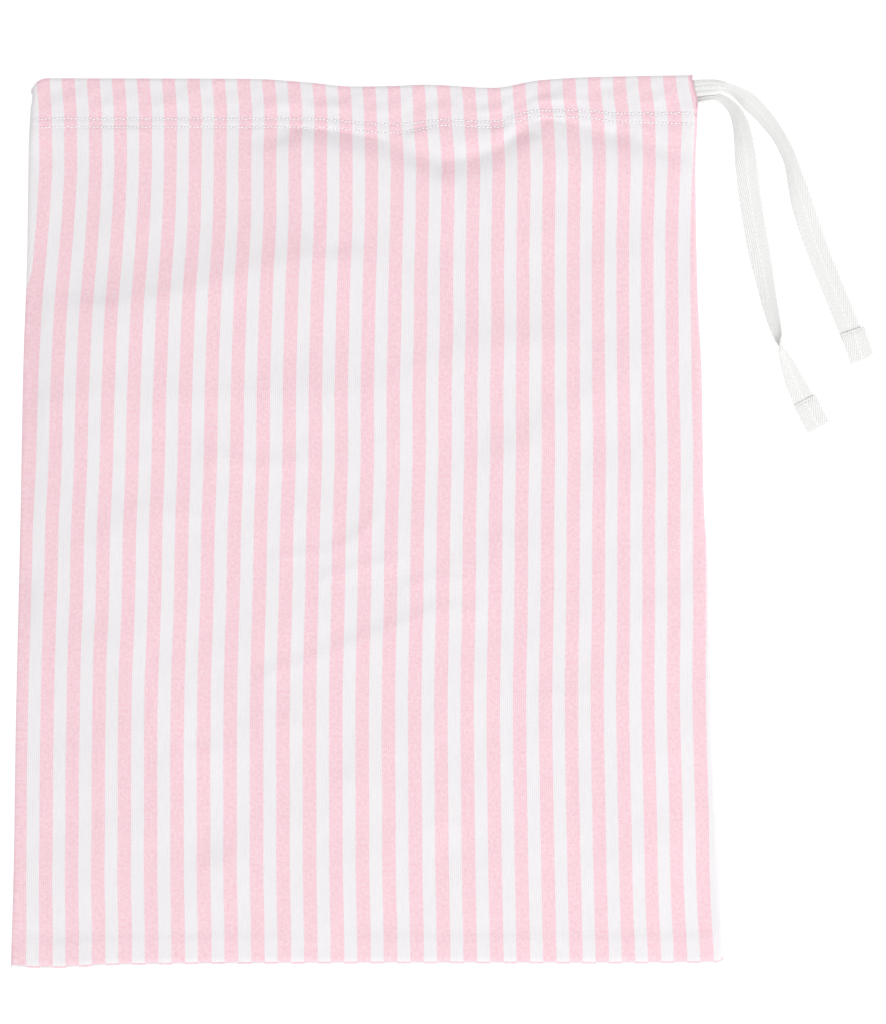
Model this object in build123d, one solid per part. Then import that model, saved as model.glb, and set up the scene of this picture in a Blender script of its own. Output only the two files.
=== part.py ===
"""Drawstring laundry bag in striped cotton jersey, lying flat on its back panel.

Millimetres. +Z is up out of the surface the bag lies on, +Y points from the bottom seam to the
mouth, and +X points to the side where the drawstring comes out. The origin is under the middle of
the bag. The bag is slightly open, so that the space for laundry is a real space.
"""

from build123d import *
import math
import os

# ---- driving dimensions: the bag ----
bag_length = 500.0
bottom_width = 402.0
left_edge_x = -187.0  # side edges of the casing, at the mouth
right_edge_x = 184.0
loft = 11.0  # height of the whole bag as it lies
border_run = 20.0  # width of the slope from a seam up to the flat of the front panel
fabric = 0.8  # one ply of jersey

# ---- driving dimensions: hem casing at the mouth ----
hem_depth = 33.0  # mouth edge to the raw edge of the turned-in ply
upper_row = 24.0  # mouth edge to each row of stitches
lower_row = 29.6
slit_depth = 22.6  # mouth edge to the foot of the slit in the right side seam

# ---- driving dimensions: seams and thread ----
allowance_width = 9.0
allowance_height = 1.6
overlock_pitch = 9.0
overlock_bite = 3.0
thread = 0.3
stitch_length = 3.0
stitch_width = 0.6
stitch_pitch = 4.0

# ---- driving dimensions: drawstring tape ----
tape_width = 12.7
tape_thickness = 0.9
tape_clearance = 0.2
tape_y = 241.5  # centre line of the tape in the casing
tab_length = 17.5  # tape folded back on itself at each end
tab_stitch_inset = 1.6
tab_stitch_count = 5

# ---- places worked out from the dimensions above ----
mouth_y = bag_length / 2
bottom_y = -bag_length / 2
raw_edge_y = mouth_y - hem_depth
upper_row_y = mouth_y - upper_row
lower_row_y = mouth_y - lower_row
slit_foot_y = mouth_y - slit_depth
slope = (loft - fabric) / border_run
channel = tape_thickness + 2 * tape_clearance
under_channel = fabric + channel  # depth of the inner ply below the outer surface
under_hem = under_channel + fabric
front_tape_z = loft - fabric - channel / 2
back_tape_z = fabric + channel / 2
floor_tape_z = tape_thickness / 2
flat_left_x = left_edge_x + border_run
flat_right_x = right_edge_x - border_run
reach = 60.0  # how far cutting shapes run past the bag

outline = [
    (-bottom_width / 2, bottom_y),
    (bottom_width / 2, bottom_y),
    (right_edge_x, raw_edge_y),
    (right_edge_x, mouth_y),
    (left_edge_x, mouth_y),
    (left_edge_x, raw_edge_y),
]

# ---- routes of the two free ends of the tape, hand-set control points ----
front_tail_route = [
    (184.0, 241.5, 9.55),
    (197.0, 241.5, 9.3),
    (209.5, 238.4, 7.7),
    (221.5, 231.4, 4.9),
    (231.5, 221.5, 2.3),
    (239.5, 208.8, 0.8),
    (245.5, 194.0, 0.45),
    (251.0, 175.5, 0.45),
    (256.0, 156.0, 0.45),
    (263.5, 134.5, 0.45),
    (272.0, 112.5, 0.45),
    (280.0, 91.5, 0.45),
]
back_tail_route = [
    (184.0, 241.5, 1.45),
    (192.5, 241.5, 1.3),
    (200.6, 239.2, 0.85),
    (207.8, 234.5, 0.55),
    (213.2, 227.8, 0.45),
    (216.4, 219.6, 0.45),
    (217.8, 209.5, 0.45),
    (218.3, 196.0, 0.45),
    (219.4, 179.5, 0.45),
    (222.2, 160.5, 0.45),
    (225.6, 140.5, 0.45),
    (229.6, 121.0, 0.45),
    (233.5, 103.0, 0.45),
    (239.5, 85.5, 0.45),
    (247.5, 69.0, 0.45),
    (255.0, 53.5, 0.45),
]


def block(x, y, z):
    """Box between a lowest and a highest value on each axis."""
    size = [high - low for low, high in (x, y, z)]
    centre = [(high + low) / 2 for low, high in (x, y, z)]
    return Pos(*centre) * Box(*size)


def make_slopes():
    """Space under the bag's upper surface, with a slope up from each sewn edge."""
    long_outline = [(x, y + reach if y == mouth_y else y) for x, y in outline]
    footprint = make_face(Polyline(*long_outline, close=True))
    angle = math.degrees(math.atan2(border_run, loft - fabric))
    raised = Pos(0, 0, fabric) * extrude(footprint, amount=loft - fabric, taper=angle)
    everywhere = (-bottom_width, bottom_width)
    return raised & block(everywhere, (bottom_y, mouth_y), (0, loft))


slopes = make_slopes()


def under(drop):
    """Space under the surface that lies drop below the bag's upper surface, casing end open."""
    past_end = right_edge_x if drop == 0 else right_edge_x + reach
    foot = slit_foot_y - fabric if drop == 0 else slit_foot_y
    casing_end = block((flat_right_x, past_end), (foot, mouth_y), (fabric, loft - drop))
    return Pos(0, 0, -drop) * slopes + casing_end


def band(y_low, y_high, z_low=0.0, z_high=loft):
    """Part of the bag between two distances along its length and two heights."""
    return block((-bottom_width, right_edge_x if y_low >= raw_edge_y else bottom_width),
                 (y_low, y_high), (z_low, z_high))


# ---- fabric ----
def make_back_panel():
    """Flat ply that lies on the surface, with a dent under each row of stitches."""
    panel = extrude(make_face(Polyline(*outline, close=True)), amount=fabric)
    for row_y in (upper_row_y, lower_row_y):
        row = (row_y - stitch_width / 2, row_y + stitch_width / 2)
        panel -= block((flat_left_x, flat_right_x), row, (0, thread))
    return panel


def make_front_panel():
    """Upper ply, sloping down to the side and bottom seams and open at the mouth."""
    ply = under(0) - under(fabric)
    return ply & band(bottom_y, mouth_y, fabric)


def make_front_hem():
    """Front ply turned in at the mouth: fold, inner wall of the channel, step, sewn-down edge."""
    sewn = under(fabric) - under(2 * fabric)
    deep = under(fabric) - under(under_hem)
    inner = under(under_channel) - under(under_hem)
    hem = sewn & band(raw_edge_y, slit_foot_y, 2 * fabric)
    hem += (Pos(0, 0, -fabric) * slopes - Pos(0, 0, -under_hem) * slopes) & band(
        slit_foot_y - fabric, slit_foot_y, under_hem
    )
    hem += inner & band(slit_foot_y, mouth_y, under_hem)
    hem += deep & band(mouth_y - fabric, mouth_y, under_hem)
    return hem


def make_back_hem():
    """Back ply turned in at the mouth, the same way round as the front one."""
    hem = under(fabric) & band(raw_edge_y, slit_foot_y, fabric, 2 * fabric)
    hem += (Pos(0, 0, -under_channel) * slopes) & band(
        slit_foot_y - fabric, slit_foot_y, fabric, under_hem
    )
    hem += under(under_channel) & band(slit_foot_y, mouth_y, under_channel, under_hem)
    hem += under(under_channel) & band(mouth_y - fabric, mouth_y, fabric, under_hem)
    return hem


def make_seam_allowances():
    """Two plies sewn together inside each side edge and along the bottom."""
    cavity = (Pos(0, 0, -fabric) * slopes) & band(
        bottom_y, raw_edge_y, fabric, fabric + allowance_height
    )
    left_foot, right_foot, right_top, _, _, left_top = outline
    strips = {}
    for name, foot, top, inward in (
        ("left_seam_allowance", left_foot, left_top, allowance_width),
        ("right_seam_allowance", right_foot, right_top, -allowance_width),
    ):
        corners = [foot, top, (top[0] + inward, top[1]), (foot[0] + inward, foot[1])]
        strip = extrude(make_face(Polyline(*corners, close=True)), amount=loft)
        strips[name] = cavity & strip
        cavity -= strip
    strips["bottom_seam_allowance"] = cavity & block(
        (-bottom_width, bottom_width), (bottom_y, bottom_y + allowance_width), (0, loft)
    )
    return strips


# ---- thread ----
def make_hem_stitches(row_y, z_low):
    """One row of straight stitches along the flat of the casing."""
    count = int((flat_right_x - flat_left_x) // stitch_pitch)
    first_x = flat_left_x + stitch_pitch / 2
    stitch = Box(stitch_length, stitch_width, thread)
    centre_z = z_low + thread / 2
    return [Pos(first_x + n * stitch_pitch, row_y, centre_z) * stitch for n in range(count)]


def make_overlock(start, end, inward):
    """Loops of thread over the raw edge of a seam allowance, from start to end of its edge."""
    top = fabric + allowance_height
    run = math.dist(start, end)
    count = int(run // overlock_pitch)
    heading = math.degrees(math.atan2(end[1] - start[1], end[0] - start[0]))
    outer = allowance_width
    across = sorted((inward * (outer - overlock_bite), inward * (outer + thread)))
    edge = sorted((inward * outer, inward * (outer + thread)))
    width = (-stitch_width / 2, stitch_width / 2)
    loop = block(width, across, (top, top + thread)) + block(width, edge, (fabric, top + thread))
    margin = (run - (count - 1) * overlock_pitch) / 2
    loops = []
    for n in range(count):
        share = (margin + n * overlock_pitch) / run
        place = [a + share * (b - a) for a, b in zip(start, end)]
        loops.append(Pos(place[0], place[1], 0) * Rot(0, 0, heading) * loop)
    return loops


def make_seam_stitching():
    """Overlock thread on the three seam allowances, clear of the corners."""
    left_foot, right_foot, right_top, _, _, left_top = outline
    clear = 2 * allowance_width

    def part_way(a, b, distance):
        share = distance / math.dist(a, b)
        return tuple(p + share * (q - p) for p, q in zip(a, b))

    return {
        "left_seam_stitching": make_overlock(
            part_way(left_foot, left_top, clear), part_way(left_top, left_foot, clear / 4), -1
        ),
        "right_seam_stitching": make_overlock(
            part_way(right_foot, right_top, clear), part_way(right_top, right_foot, clear / 4), 1
        ),
        "bottom_seam_stitching": make_overlock(
            part_way(left_foot, right_foot, clear), part_way(right_foot, left_foot, clear), 1
        ),
    }


def make_bar_tacks():
    """Dense thread at the foot of the slit, one in each tape channel."""
    x = (right_edge_x - 6.0, right_edge_x)
    y = (slit_foot_y, slit_foot_y + 1.2)
    back = block(x, y, (fabric, under_channel))
    front = block(x, y, (loft - under_channel, loft - fabric))
    return [back, front]


# ---- drawstring ----
def make_casing_run():
    """Tape through the front channel, folded round the left edge and back through the other."""
    top_z = front_tape_z + tape_thickness / 2
    low_z = back_tape_z - tape_thickness / 2

    def slope_x(z, drop):
        return left_edge_x + (z - fabric + drop) / slope

    outer = fabric + tape_clearance
    inner = outer + tape_thickness
    side = [
        (slope_x(low_z, outer), low_z),
        (slope_x(top_z, outer), top_z),
        (right_edge_x, top_z),
        (right_edge_x, top_z - tape_thickness),
        (slope_x(top_z - tape_thickness, inner), top_z - tape_thickness),
        (slope_x(low_z + tape_thickness, inner), low_z + tape_thickness),
        (right_edge_x, low_z + tape_thickness),
        (right_edge_x, low_z),
    ]
    profile = make_face(Polyline(*[(x, tape_y, z) for x, z in side], close=True))
    return extrude(profile, amount=tape_width / 2, dir=(0, 1, 0), both=True)


def corner_radii(route):
    """Radius of the arc at each inner point: as large as its two runs allow."""
    radii = []
    for before, here, after in zip(route, route[1:], route[2:]):
        run_in = Vector(*here) - Vector(*before)
        run_out = Vector(*after) - Vector(*here)
        turn = math.radians(run_in.get_angle(run_out))
        radii.append(0.45 * min(run_in.length, run_out.length) / math.tan(turn / 2))
    return radii


def sweep_flat(points, width, height):
    """Rectangle swept along straight runs and tangent arcs that all lie in one plane."""
    path = FilletPolyline(*[Vector(*p) for p in points], radius=corner_radii(points))
    section = Plane(origin=path @ 0, x_dir=(0, 1, 0), z_dir=path % 0) * Rectangle(width, height)
    return sweep(section, path=path)


def make_tail(name, route):
    """Free end of the tape: its route seen from above, cut out of a sheet that comes down to lie."""
    wall = sweep_flat([(x, y, 0) for x, y, _ in route], tape_width, 4 * loft)
    coming_down = [(x, tape_y, z) for x, _, z in route if z > floor_tape_z]
    landing = route[len(coming_down)]
    coming_down += [(landing[0], tape_y, floor_tape_z), (route[-1][0] + reach, tape_y, floor_tape_z)]
    tail = wall & sweep_flat(coming_down, bag_length, tape_thickness)

    radii = corner_radii(route)
    path = FilletPolyline(*[Vector(*p) for p in route], radius=radii)
    length = sum(edge.length for edge in path.edges())
    share = tail.volume / (length * tape_width * tape_thickness)
    print(f"{name}: length {length:.1f}, volume {share:.3f} of section x length")
    print(f"{name}: radii {[round(r, 1) for r in radii]}")
    return tail


def end_frame(route):
    """Local frame at the far end of a tail: +X back along the tape, on top of the tape."""
    (x0, y0, _), (x1, y1, _) = route[-2:]
    back_along = math.degrees(math.atan2(y0 - y1, x0 - x1))
    return Pos(x1, y1, tape_thickness) * Rot(0, 0, back_along)


def make_tab(route):
    """Last stretch of tape, folded back on top of the tail."""
    tab = block((0, tab_length), (-tape_width / 2, tape_width / 2), (0, tape_thickness))
    return end_frame(route) * tab


def make_tab_stitches(route):
    """Row of stitches across the raw edge of the folded-back tape."""
    x = tab_length - tab_stitch_inset
    pitch = (tape_width - 2 * tab_stitch_inset) / tab_stitch_count
    stitch = Box(stitch_width, 0.75 * pitch, thread)
    middle = (tab_stitch_count - 1) / 2
    z = tape_thickness + thread / 2
    frame = end_frame(route)
    return [frame * Pos(x, (n - middle) * pitch, z) * stitch for n in range(tab_stitch_count)]


# ---- every node of the assembly ----
nodes = {
    "back_panel": make_back_panel(),
    "front_panel": make_front_panel(),
    "back_hem": make_back_hem(),
    "front_hem": make_front_hem(),
    "slit_bar_tacks": make_bar_tacks(),
    "front_hem_upper_stitches": make_hem_stitches(upper_row_y, loft),
    "front_hem_lower_stitches": make_hem_stitches(lower_row_y, loft),
    "back_hem_upper_stitches": make_hem_stitches(upper_row_y, 0.0),
    "back_hem_lower_stitches": make_hem_stitches(lower_row_y, 0.0),
    "drawstring_in_casing": make_casing_run(),
    "front_tail": make_tail("front_tail", front_tail_route),
    "back_tail": make_tail("back_tail", back_tail_route),
    "front_tail_tab": make_tab(front_tail_route),
    "back_tail_tab": make_tab(back_tail_route),
    "front_tail_stitches": make_tab_stitches(front_tail_route),
    "back_tail_stitches": make_tab_stitches(back_tail_route),
}
nodes.update(make_seam_allowances())
nodes.update(make_seam_stitching())

os.makedirs("parts", exist_ok=True)
for name, shape in nodes.items():
    solids = shape if isinstance(shape, list) else list(shape.solids())
    export_step(Compound(children=solids) if len(solids) > 1 else solids[0], f"parts/{name}.step")
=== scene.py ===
"""Looks of the striped drawstring laundry bag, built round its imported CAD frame.

Metres. The bag lies flat: +Z up, +Y towards the mouth, +X towards the slit the tape comes out of.
Cloth is shaped in millimetres and scaled when its mesh is made. `down` is the distance along the
cloth from the fold at the mouth to the bottom seam.
"""
import math

import bpy
import numpy as np
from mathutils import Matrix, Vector


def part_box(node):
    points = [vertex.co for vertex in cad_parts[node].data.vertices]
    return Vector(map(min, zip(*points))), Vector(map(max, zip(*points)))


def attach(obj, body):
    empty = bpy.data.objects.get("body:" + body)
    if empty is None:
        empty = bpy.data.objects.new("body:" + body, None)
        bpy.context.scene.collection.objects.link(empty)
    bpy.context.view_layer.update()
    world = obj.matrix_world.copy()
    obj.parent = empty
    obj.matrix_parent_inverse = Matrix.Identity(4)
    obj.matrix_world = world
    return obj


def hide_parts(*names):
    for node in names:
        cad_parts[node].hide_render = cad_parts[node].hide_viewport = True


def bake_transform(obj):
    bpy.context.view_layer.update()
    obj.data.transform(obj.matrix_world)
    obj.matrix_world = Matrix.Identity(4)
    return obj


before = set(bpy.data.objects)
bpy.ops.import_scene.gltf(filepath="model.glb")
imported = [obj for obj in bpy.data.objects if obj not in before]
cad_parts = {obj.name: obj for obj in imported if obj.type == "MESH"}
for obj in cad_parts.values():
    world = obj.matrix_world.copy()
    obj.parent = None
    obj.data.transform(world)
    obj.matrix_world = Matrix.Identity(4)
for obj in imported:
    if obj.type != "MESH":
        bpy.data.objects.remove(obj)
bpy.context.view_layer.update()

MM = 0.001


def add_object(name, data):
    """New object of the scene that shows this data."""
    added = bpy.data.objects.new(name, data)
    bpy.context.scene.collection.objects.link(added)
    return added


# ---- camera, first ----
VIEW_CENTRE = (0.0427, 0.0051)
VIEW_HEIGHT = 0.5786  # height of the picture, measured on the cloth
CLOTH_Z = 0.0050
SENSOR = 36.0
LENS = 100.0


def make_camera():
    """Looks straight down on the bag."""
    data = bpy.data.cameras.new("camera")
    data.sensor_width = SENSOR
    data.lens = LENS
    camera = add_object("camera", data)
    camera.location = (*VIEW_CENTRE, VIEW_HEIGHT * LENS / SENSOR + CLOTH_Z)
    bpy.context.scene.camera = camera


make_camera()

# ---- the bag's own sizes, from the frame, in millimetres ----
def corners_of(node):
    """Lowest and highest corner of a CAD node."""
    return (np.array(corner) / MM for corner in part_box(node))


BAG_LOW, BAG_HIGH = corners_of("back_panel")
MOUTH_Y, BOTTOM_Y = BAG_HIGH[1], BAG_LOW[1]
LENGTH = MOUTH_Y - BOTTOM_Y
CASING_LOW, CASING_HIGH = corners_of("front_hem")
HEM_DEPTH = MOUTH_Y - CASING_LOW[1]
EXIT_X = CASING_HIGH[0]
SLIT_DEPTH = MOUTH_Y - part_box("slit_bar_tacks")[0][1] / MM
TAPE_LOW, TAPE_HIGH = corners_of("drawstring_in_casing")
TAPE_WIDTH = TAPE_HIGH[1] - TAPE_LOW[1]


def row_depth(node):
    """Distance from the mouth to the middle of a row of stitches."""
    low, high = corners_of(node)
    return MOUTH_Y - (low[1] + high[1]) / 2


UPPER_ROW = row_depth("front_hem_upper_stitches")
LOWER_ROW = row_depth("front_hem_lower_stitches")
PLY = 0.8  # thickness of one ply of jersey
TAPE = 0.9  # and of the tape


# ---- small helpers ----
def smooth(t):
    """Eases from 0 to 1."""
    t = np.clip(t, 0.0, 1.0)
    return t * t * (3.0 - 2.0 * t)


def through(*points):
    """Smooth curve through given (place, value) points, as a function."""
    xs, ys = (np.array(column, float) for column in zip(*points))
    steps = np.diff(ys) / np.diff(xs)
    before, after = steps[:-1], steps[1:]
    same_way = before * after > 0
    between = 2 * before * after / np.where(same_way, before + after, 1.0)
    slopes = np.concatenate([[steps[0]], np.where(same_way, between, 0.0), [steps[-1]]])

    def value(x):
        x = np.clip(x, xs[0], xs[-1])
        n = np.clip(np.searchsorted(xs, x) - 1, 0, len(xs) - 2)
        gap = xs[n + 1] - xs[n]
        t = (x - xs[n]) / gap
        start = (2 * t**3 - 3 * t**2 + 1) * ys[n] + (t**3 - 2 * t**2 + t) * gap * slopes[n]
        end = (3 * t**2 - 2 * t**3) * ys[n + 1] + (t**3 - t**2) * gap * slopes[n + 1]
        return start + end

    return value


def shares(stops, place):
    """Smooth weight of each stop at each place, for passing values from stop to stop."""
    passed = [smooth((place - a) / (b - a)) for a, b in zip(stops, stops[1:])]
    return [before - after for before, after in zip([1.0, *passed], [*passed, 0.0])]


def lengths_along(line):
    """Distance along a line at each of its points."""
    return np.concatenate([[0.0], np.cumsum(np.linalg.norm(np.diff(line, axis=0), axis=1))])


def new_mesh(name, points, faces, uvs, material):
    """Mesh object from points in millimetres and faces, with a cloth coordinate per point."""
    mesh = bpy.data.meshes.new(name)
    mesh.from_pydata((np.asarray(points) * MM).tolist(), [], [tuple(int(n) for n in f) for f in faces])
    mesh.update()
    layer = mesh.uv_layers.new(name="cloth")
    corners = np.empty(len(mesh.loops), np.int32)
    mesh.loops.foreach_get("vertex_index", corners)
    layer.data.foreach_set("uv", np.asarray(uvs, np.float32)[corners].ravel())
    mesh.shade_smooth()
    mesh.materials.append(material)
    return add_object(name, mesh)


def grid_faces(rows, columns, flip=False):
    """Quads of a grid whose points run row by row."""
    r, c = np.meshgrid(np.arange(rows - 1), np.arange(columns - 1), indexing="ij")
    first = (r * columns + c).ravel()
    quads = np.stack([first, first + 1, first + columns + 1, first + columns], axis=1)
    return quads[:, ::-1] if flip else quads


def thick_sheet(name, grid, uvs, thickness, material, flip=False):
    """Sheet of cloth whose outer side is a grid of points (rows, columns, 3)."""
    rows, columns = grid.shape[:2]
    faces = grid_faces(rows, columns, flip)
    piece = new_mesh(name, grid.reshape(-1, 3), faces, uvs.reshape(-1, 2), material)
    solid = piece.modifiers.new("thickness", "SOLIDIFY")
    solid.thickness = thickness * MM
    solid.offset = -1.0
    finished = bpy.data.meshes.new_from_object(
        piece.evaluated_get(bpy.context.evaluated_depsgraph_get())
    )
    piece.modifiers.clear()
    piece.data = finished
    return piece


def thread(name, lines, radius, sides=6):
    """Thread along each line of points in millimetres, narrowing at both ends."""
    points, faces, uvs = [], [], []
    around = np.arange(sides) * 2 * math.pi / sides
    for line in lines:
        line = np.asarray(line, float)
        ahead = np.gradient(line, axis=0)
        ahead /= np.linalg.norm(ahead, axis=1, keepdims=True)
        side = np.cross(ahead, [0.23, 0.11, 0.97])
        side /= np.linalg.norm(side, axis=1, keepdims=True)
        up = np.cross(side, ahead)
        size = np.full(len(line), radius)
        size[[0, -1]] *= 0.5
        round_it = np.cos(around)[:, None] * side[:, None] + np.sin(around)[:, None] * up[:, None]
        ring = line[:, None] + size[:, None, None] * round_it
        base = len(points)
        points.extend(ring.reshape(-1, 3))
        uvs.extend((k / sides, distance) for distance in lengths_along(line) for k in range(sides))
        for r in range(len(line) - 1):
            for k in range(sides):
                a, b = base + r * sides + k, base + r * sides + (k + 1) % sides
                faces.append((a, b, b + sides, a + sides))
        faces.append([base + k for k in reversed(range(sides))])
        faces.append([base + (len(line) - 1) * sides + k for k in range(sides)])
    return new_mesh(name, points, faces, uvs, THREAD)


# ---- materials ----
def srgb(red, green, blue):
    """Linear colour of an 8-bit one."""
    parts = (red / 255, green / 255, blue / 255)
    linear = (c / 12.92 if c <= 0.04045 else ((c + 0.055) / 1.055) ** 2.4 for c in parts)
    return (*linear, 1.0)


class Nodes:
    """Short ways to add and wire the shader nodes of one material."""

    def __init__(self, name):
        self.material = bpy.data.materials.new(name)
        self.material.use_nodes = True
        self.tree = self.material.node_tree
        self.shader = self.tree.nodes["Principled BSDF"]

    def feed(self, socket, value):
        """Wires value in if it is a socket, and otherwise sets it."""
        if isinstance(value, bpy.types.NodeSocket):
            self.tree.links.new(value, socket)
        else:
            socket.default_value = value

    def node(self, kind, values, output=0, **settings):
        """Output of a new node, with its first inputs fed in order."""
        node = self.tree.nodes.new(kind)
        for name, setting in settings.items():
            setattr(node, name, setting)
        for socket, value in zip(node.inputs, values):
            if value is not None:
                self.feed(socket, value)
        return node.outputs[output]

    def cloth(self):
        """Across and along coordinates of the cloth."""
        place = self.node("ShaderNodeUVMap", (), uv_map="cloth")
        split = self.tree.nodes.new("ShaderNodeSeparateXYZ")
        self.feed(split.inputs[0], place)
        return split.outputs[0], split.outputs[1]

    def math(self, operation, *values):
        return self.node("ShaderNodeMath", values, operation=operation)

    def times(self, a, b):
        return self.math("MULTIPLY", a, b)

    def point(self, x, y, z=0.0):
        return self.node("ShaderNodeCombineXYZ", (x, y, z))

    def named(self, kind, **values):
        """Output of a new node, with its inputs fed by name."""
        node = self.tree.nodes.new(kind)
        for name, value in values.items():
            self.feed(node.inputs[name], value)
        return node.outputs[0]

    def noise(self, place, scale, detail=2.0, rough=0.5):
        return self.named("ShaderNodeTexNoise", Vector=place, Scale=scale, Detail=detail, Roughness=rough)

    def ramp(self, value, low, high, to_low=0.0, to_high=1.0):
        values = (value, low, high, to_low, to_high)
        return self.node("ShaderNodeMapRange", values, interpolation_type="SMOOTHSTEP")

    def mix(self, share, a, b):
        node = self.tree.nodes.new("ShaderNodeMix")
        node.data_type = "RGBA"
        for n, value in ((0, share), (6, a), (7, b)):
            self.feed(node.inputs[n], value)
        return node.outputs[2]

    def bump(self, height, distance, strength=1.0):
        normal = self.named("ShaderNodeBump", Height=height, Distance=distance, Strength=strength)
        self.feed(self.shader.inputs["Normal"], normal)

    def finish(self, colour, roughness, sheen=0.0):
        self.feed(self.shader.inputs["Base Color"], colour)
        self.feed(self.shader.inputs["Roughness"], roughness)
        self.shader.inputs["Specular IOR Level"].default_value = 0.15
        self.shader.inputs["Sheen Weight"].default_value = sheen
        self.shader.inputs["Sheen Roughness"].default_value = 0.6
        return self.material


PINK = srgb(218, 178, 188)
PINK_LIGHT = srgb(224, 197, 204)
WHITE = srgb(215, 213, 215)
WHITE_GROOVE = srgb(208, 200, 207)
# painted shade for the needle holes of the rows of stitches
HOLE_SHADE_PINK = srgb(196, 138, 152)
HOLE_SHADE_WHITE = srgb(186, 182, 186)
TAPE_WHITE = srgb(223, 223, 222)
# painted shade for the grooves of the tape's herringbone
TAPE_GROOVE_SHADE = srgb(198, 198, 195)
THREAD_WHITE = srgb(238, 237, 240)
THREAD_SHADE = srgb(222, 220, 225)
PINK_HALF_WIDTH = 0.2575  # of the stripe pitch
STRIPE = 14.6  # millimetres of cloth per stripe pitch
WALES_PER_STRIPE = 13.0
COURSE = 0.9  # millimetres of cloth per row of knitted loops
STITCH = 0.148  # stripe pitches per stitch
STITCH_SHARE = 0.7  # of it that the thread covers on the outside
HEM_THREAD = 0.36  # radius of each thread
UNDER_THREAD = 0.2
FINE_THREAD = 0.17
TACK_THREAD = 0.14


def make_jersey():
    """Yarn-dyed striped jersey: u counts stripes across, v is millimetres along the cloth."""
    n = Nodes("striped_jersey")
    u, v = n.cloth()
    across = n.times(u, STRIPE)
    place = n.point(across, v)
    fuzz = n.math("MULTIPLY_ADD", n.noise(place, 1.1, 3.0, 0.7), 0.05, -0.025)
    from_middle = n.math("PINGPONG", n.math("ADD", u, fuzz), 0.5)
    pinkness = n.ramp(from_middle, PINK_HALF_WIDTH - 0.02, PINK_HALF_WIDTH + 0.02, 1.0, 0.0)

    wale = n.math("SINE", n.times(u, 2 * math.pi * WALES_PER_STRIPE))
    lean = n.times(n.math("ABSOLUTE", wale), 1.6)
    loop = n.math("SINE", n.math("MULTIPLY_ADD", v, 2 * math.pi / COURSE, lean))
    streak = n.noise(n.point(n.times(across, 2.2), n.times(v, 0.12)), 1.0, 2.0)
    mottle = n.noise(place, 0.55, 4.0, 0.65)
    speckle = n.noise(place, 2.6, 2.0, 0.6)

    heather = n.ramp(n.math("MULTIPLY_ADD", speckle, 0.5, mottle), 0.55, 0.98)
    pink = n.mix(heather, PINK_LIGHT, PINK)
    groove = n.times(n.ramp(wale, 0.2, 1.0), n.ramp(streak, 0.35, 0.75))
    pink = n.mix(n.times(groove, 0.6), pink, PINK)
    white = n.mix(groove, WHITE, WHITE_GROOVE)
    colour = n.mix(pinkness, white, pink)

    # painted shade in the small needle holes between the stitches of the two rows, and the dents round
    # them
    hole = n.math("PINGPONG", n.math("MULTIPLY_ADD", u, 1 / STITCH, 0.5 * (1 - STITCH_SHARE)), 0.5)
    hole_shade, dents = 0.0, 0.0
    for row in (UPPER_ROW, LOWER_ROW):
        off = n.math("ABSOLUTE", n.math("SUBTRACT", v, row))
        hole_shade = n.math("ADD", hole_shade, n.ramp(off, 0.25, 0.75, 1.0, 0.0))
        dents = n.math("ADD", dents, n.ramp(off, 0.2, 1.3, 1.0, 0.0))
    hole_shade = n.times(hole_shade, n.ramp(hole, 0.12, 0.3, 1.0, 0.0))
    colour = n.mix(n.times(hole_shade, 0.35), colour, n.mix(pinkness, HOLE_SHADE_WHITE, HOLE_SHADE_PINK))

    height = n.math("MULTIPLY_ADD", loop, 0.35, n.times(wale, 0.5))
    height = n.math("MULTIPLY_ADD", dents, -0.45, height)
    n.bump(n.math("MULTIPLY_ADD", speckle, 1.2, height), 0.12 * MM, 0.6)
    return n.finish(colour, 0.92, 0.1)


def make_twill():
    """Herringbone tape: u runs from -1 to 1 across, v is millimetres along the tape."""
    n = Nodes("twill_tape")
    u, v = n.cloth()
    from_middle = n.math("ABSOLUTE", u)
    slant = n.math("MULTIPLY_ADD", from_middle, 17.0, v)
    rib = n.math("SINE", n.times(slant, 2 * math.pi / 3.0))
    yarn = n.noise(n.point(n.times(u, 8.0), v), 2.2, 2.0)
    spine = n.ramp(from_middle, 0.0, 0.07, 1.0, 0.0)
    selvage = n.ramp(from_middle, 0.9, 0.97)
    depth = n.times(n.ramp(rib, -0.2, 0.9), n.ramp(yarn, 0.2, 0.7))
    depth = n.times(depth, n.math("SUBTRACT", 1.0, n.math("MAXIMUM", spine, selvage)))
    # depth sinks the grooves in the bump and also paints shade into them
    colour = n.mix(depth, TAPE_WHITE, TAPE_GROOVE_SHADE)
    n.bump(n.math("MULTIPLY_ADD", yarn, 0.6, n.times(depth, -1.0)), 0.22 * MM, 0.8)
    return n.finish(colour, 0.85, 0.1)


def make_sewing_thread():
    """Two-ply sewing thread: u turns once round it, v is millimetres along it."""
    n = Nodes("sewing_thread")
    u, v = n.cloth()
    twist = n.math("SINE", n.math("MULTIPLY_ADD", v, 9.0, n.times(u, 2 * math.pi)))
    n.bump(twist, 0.04 * MM, 0.5)
    return n.finish(n.mix(n.ramp(twist, -1.0, 1.0), THREAD_SHADE, THREAD_WHITE), 0.55)


JERSEY = make_jersey()
TWILL = make_twill()
THREAD = make_sewing_thread()

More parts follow.
